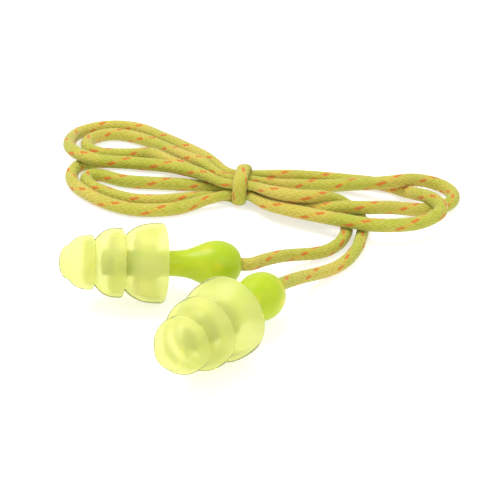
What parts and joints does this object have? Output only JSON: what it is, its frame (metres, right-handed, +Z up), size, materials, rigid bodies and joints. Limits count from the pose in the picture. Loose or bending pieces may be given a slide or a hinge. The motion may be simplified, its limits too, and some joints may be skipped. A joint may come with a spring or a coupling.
{
  "type": "corded ear plugs",
  "caption": "Corded reusable ear plugs with soft stacked-flange tips on ball-grip stems, joined by a braided cord folded into a waisted hank.",
  "frame": {"origin": "on the table under the middle of the box of the two plugs, without their cord", "axes": "+Z up; +X from the left plug's nose towards its ball grip, along the hank; +Y from the plugs towards the hank"},
  "size_m": [0.0722, 0.0919, 0.0126],
  "materials": {
    "tip": "satin, slightly translucent soft elastomer",
    "stem": "glossy translucent elastomer",
    "cord": "fine round braid with orange tracer yarn"
  },
  "bodies": {
    "cord": {"hank_left_loops": "cord", "hank_right_loops": "cord", "hank_waist_turn": "cord", "left_cord_lead": "cord", "right_cord_lead": "cord"},
    "left_neck": {"left_cord_neck": "cord"},
    "left_plug": {"left_tip": "tip", "left_stem": "stem", "left_cord_end": "cord"},
    "right_neck": {"right_cord_neck": "cord"},
    "right_plug": {"right_tip": "tip", "right_stem": "stem", "right_cord_end": "cord"}
  },
  "joints": [
    {"name": "left_plug_swing", "type": "hinge", "parent": "cord", "child": "left_neck", "pos_m": [0.0141, 0.0166, 0.00375], "axis": [0, 0, 1], "range_deg": [-35, 4]},
    {"name": "left_plug_lift", "type": "hinge", "parent": "left_neck", "child": "left_plug", "pos_m": [0.01181, 0.01417, 0.00441], "axis": [-0.1908, 0.9816, 0], "range_deg": [0, 45]},
    {"name": "right_plug_swing", "type": "hinge", "parent": "cord", "child": "right_neck", "pos_m": [0.0181, 0.0105, 0.0036], "axis": [0, 0, 1], "range_deg": [-4, 60]},
    {"name": "right_plug_lift", "type": "hinge", "parent": "right_neck", "child": "right_plug", "pos_m": [0.01633, 0.00785, 0.00441], "axis": [-0.8387, 0.5446, 0], "range_deg": [0, 45]}
  ]
}
